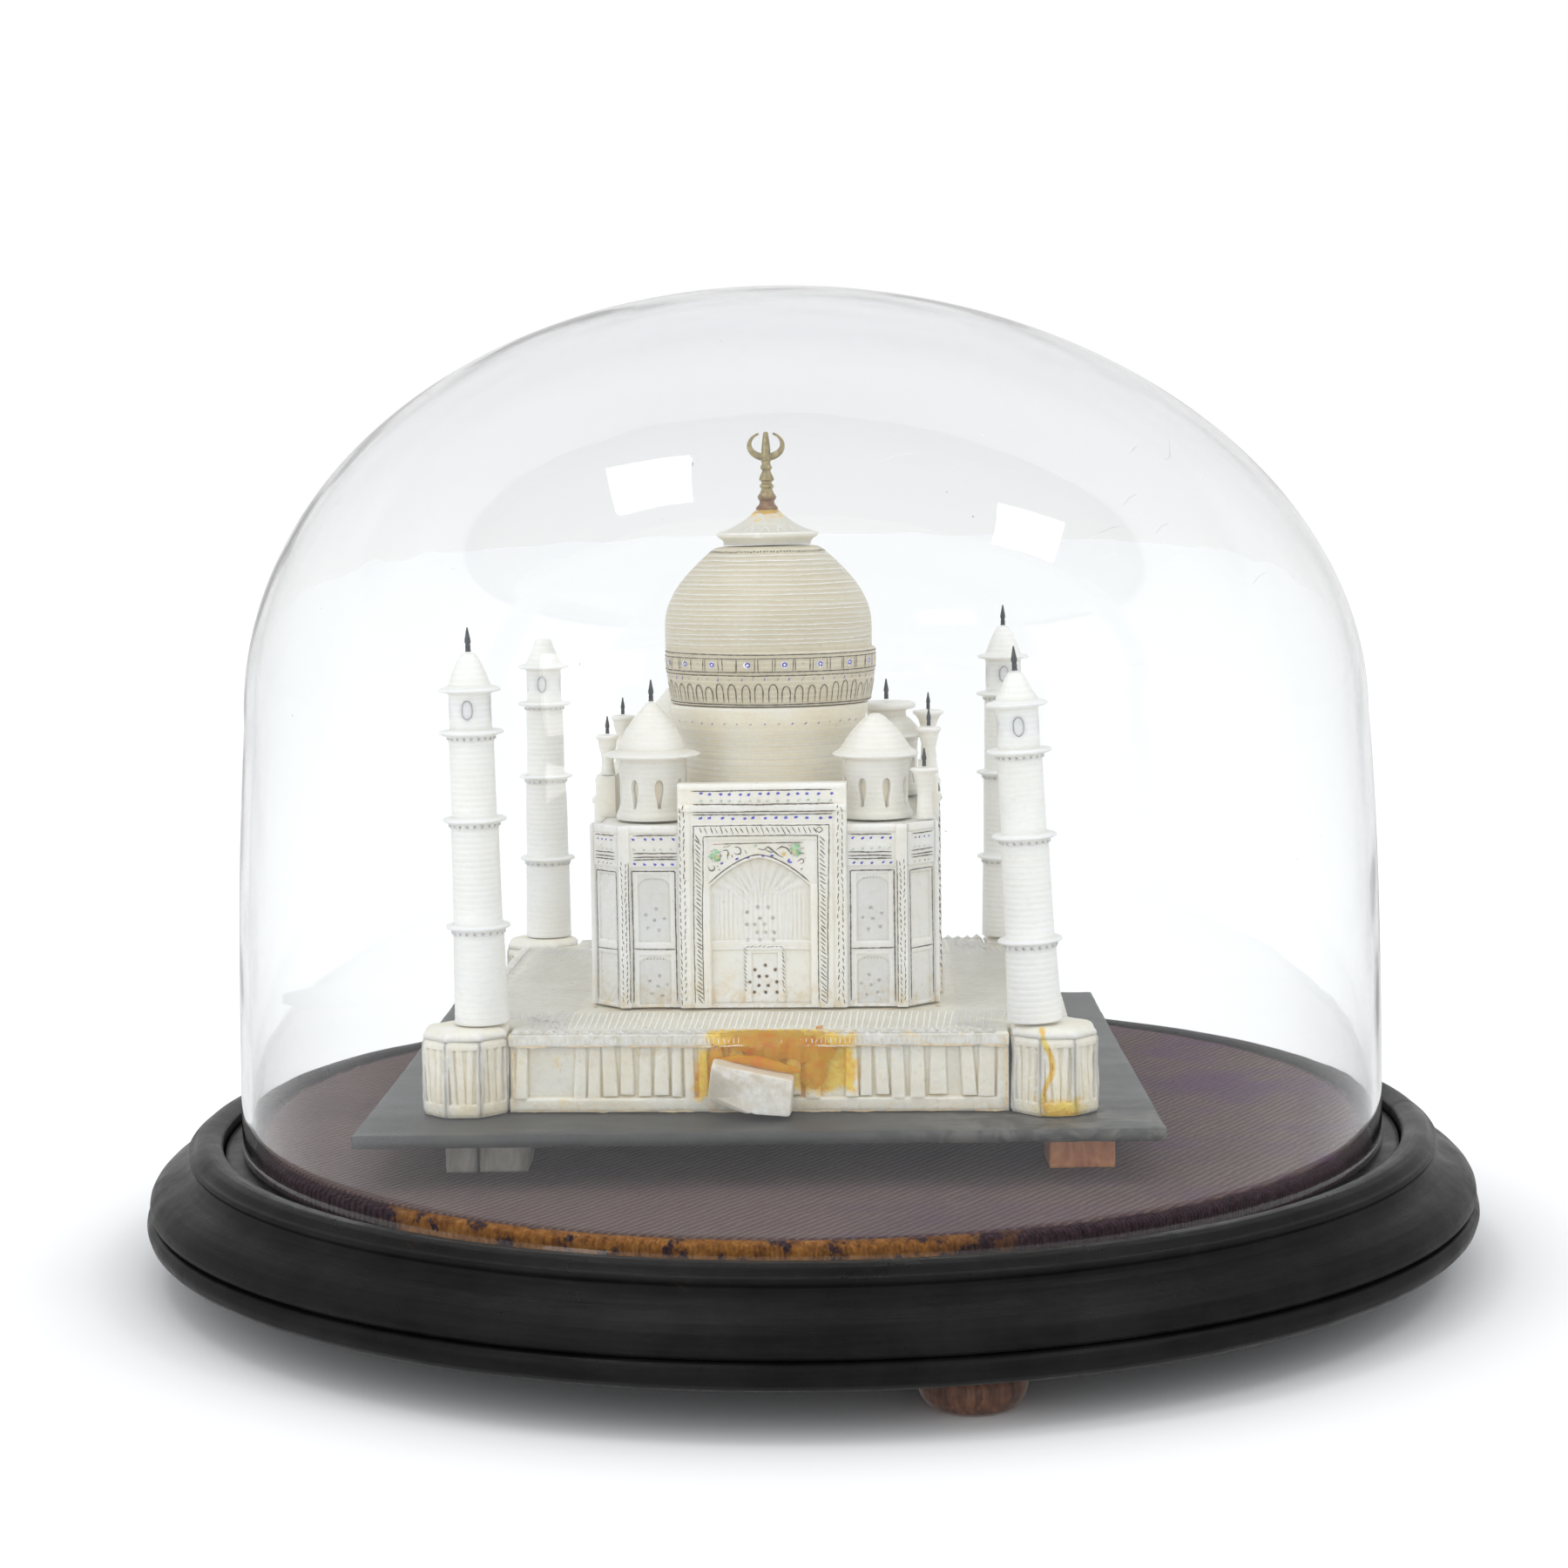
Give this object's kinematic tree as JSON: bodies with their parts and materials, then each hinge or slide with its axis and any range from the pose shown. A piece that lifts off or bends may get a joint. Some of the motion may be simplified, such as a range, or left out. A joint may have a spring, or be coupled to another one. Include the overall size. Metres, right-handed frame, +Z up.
{
  "type": "miniature landmark model",
  "caption": "Carved alabaster souvenir model of a domed mausoleum with corner minarets, on a slate slab and velvet pad in a turned black wooden base, under a lift-off glass dome.",
  "frame": {"origin": "centre of the round base, on the plane that the bun feet stand on", "axes": "+Z up along the axis of the base and glass dome; the model's front and its loose step face -Y, and +X is to the right as seen from the front"},
  "size_m": [0.3266, 0.3266, 0.2365],
  "materials": {
    "ebonised_wood": "turned and ebonised, worn satin polish with scratches",
    "foot_wood": "reddish brown, dull and scuffed",
    "pad_board": "bare, hidden under the velvet",
    "velvet": "faded purple velvet, ribbed, worn brown along the front edge",
    "glass": "clear blown glass, slightly uneven, smudged",
    "slate": "honed grey slate, dusty",
    "alabaster": "carved white alabaster, faintly translucent, inked and painted lines",
    "warm_alabaster": "carved cream alabaster, faintly translucent, with scored lines and resin stains",
    "grey_stone": "sawn offcuts, translucent grey-brown",
    "red_stone": "sawn offcut, orange-red",
    "iron_pin": "dark grey oxidised iron",
    "brass": "dull olive brass, reddish at the foot"
  },
  "bodies": {
    "base": {"base_board": "ebonised_wood", "base_moulding": "ebonised_wood", "bun_foot_front": "foot_wood", "bun_foot_right": "foot_wood", "bun_foot_left": "foot_wood", "pad_board": "pad_board", "velvet_cover": "velvet", "packing_front_left": "grey_stone", "packing_front_left_end": "grey_stone", "packing_front_right": "red_stone", "packing_rear_left": "grey_stone", "packing_rear_right": "grey_stone"},
    "glass": {"glass_dome": "glass"},
    "model": {"slate_slab": "slate", "bastion_front_left": "alabaster", "bastion_front_right": "alabaster", "bastion_rear_right": "alabaster", "bastion_rear_left": "alabaster", "terrace_wall_front": "warm_alabaster", "terrace_wall_right": "warm_alabaster", "terrace_wall_back": "warm_alabaster", "terrace_wall_left": "warm_alabaster", "terrace_floor": "warm_alabaster", "step_block": "warm_alabaster", "mausoleum_body": "alabaster", "portal_front": "alabaster", "portal_right": "alabaster", "portal_back": "alabaster", "portal_left": "alabaster", "drum": "warm_alabaster", "main_dome": "warm_alabaster", "dome_cap": "warm_alabaster", "finial": "brass", "turret_front_left": "alabaster", "turret_front_right": "alabaster", "turret_rear_right": "alabaster", "turret_rear_left": "alabaster", "turret_pin_front_left": "iron_pin", "turret_pin_rear_right": "iron_pin", "pinnacle_right_front": "alabaster", "pinnacle_right_rear": "alabaster", "pinnacle_left_front": "alabaster", "pinnacle_left_rear": "alabaster", "pinnacle_right_corner": "alabaster", "pinnacle_pin_right_front": "iron_pin", "pinnacle_pin_right_rear": "iron_pin", "pinnacle_pin_left_front": "iron_pin", "pinnacle_pin_left_rear": "iron_pin", "pinnacle_pin_right_corner": "iron_pin", "minaret_front_left": "alabaster", "minaret_front_right": "alabaster", "minaret_rear_right": "alabaster", "minaret_rear_left": "alabaster", "minaret_pin_front_left": "iron_pin", "minaret_pin_front_right": "iron_pin", "minaret_pin_rear_right": "iron_pin"}
  },
  "joints": [
    {"name": "glass_lift", "type": "slide", "parent": "base", "child": "glass", "axis": [0, 0, 1], "range_m": [0, 0.2]},
    {"name": "model_lift", "type": "slide", "parent": "base", "child": "model", "axis": [0, 0, 1], "range_m": [0, 0.02]}
  ]
}
